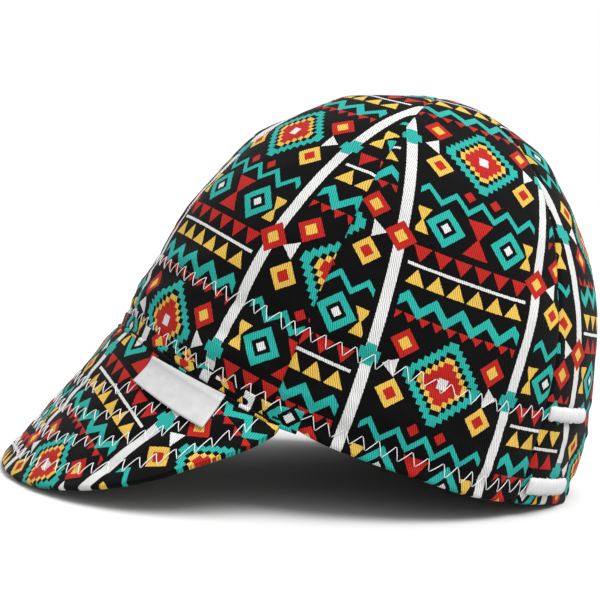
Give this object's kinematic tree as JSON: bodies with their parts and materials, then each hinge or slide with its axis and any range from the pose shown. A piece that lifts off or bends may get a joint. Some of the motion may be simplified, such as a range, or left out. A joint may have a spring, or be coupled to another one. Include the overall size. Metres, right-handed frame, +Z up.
{
  "type": "welding cap",
  "caption": "Soft cotton welding cap with a gored round crown, a short quilted bill, satin bars at the back of the hem and a blank label in the bill seam.",
  "frame": {"origin": "on the surface that the cap rests on, under the middle of its box", "axes": "+X towards the wearer's left, +Y towards the back of the cap, +Z up; the bill points to -Y"},
  "size_m": [0.18, 0.2438, 0.1619],
  "materials": {
    "twill": "printed cotton twill, black ground",
    "quilted_twill": "printed cotton twill, quilted in rows",
    "band_cloth": "plain black cotton",
    "satin": "white satin"
  },
  "bodies": {
    "root": {"gore_front_left": "twill", "gore_side_left": "twill", "gore_back_left": "twill", "gore_front_right": "twill", "gore_side_right": "twill", "gore_back_right": "twill", "bill": "quilted_twill", "sweatband": "band_cloth", "bar_upper_left": "satin", "bar_lower_left": "satin", "bar_upper_right": "satin", "bar_lower_right": "satin", "label": "satin"}
  },
  "joints": []
}
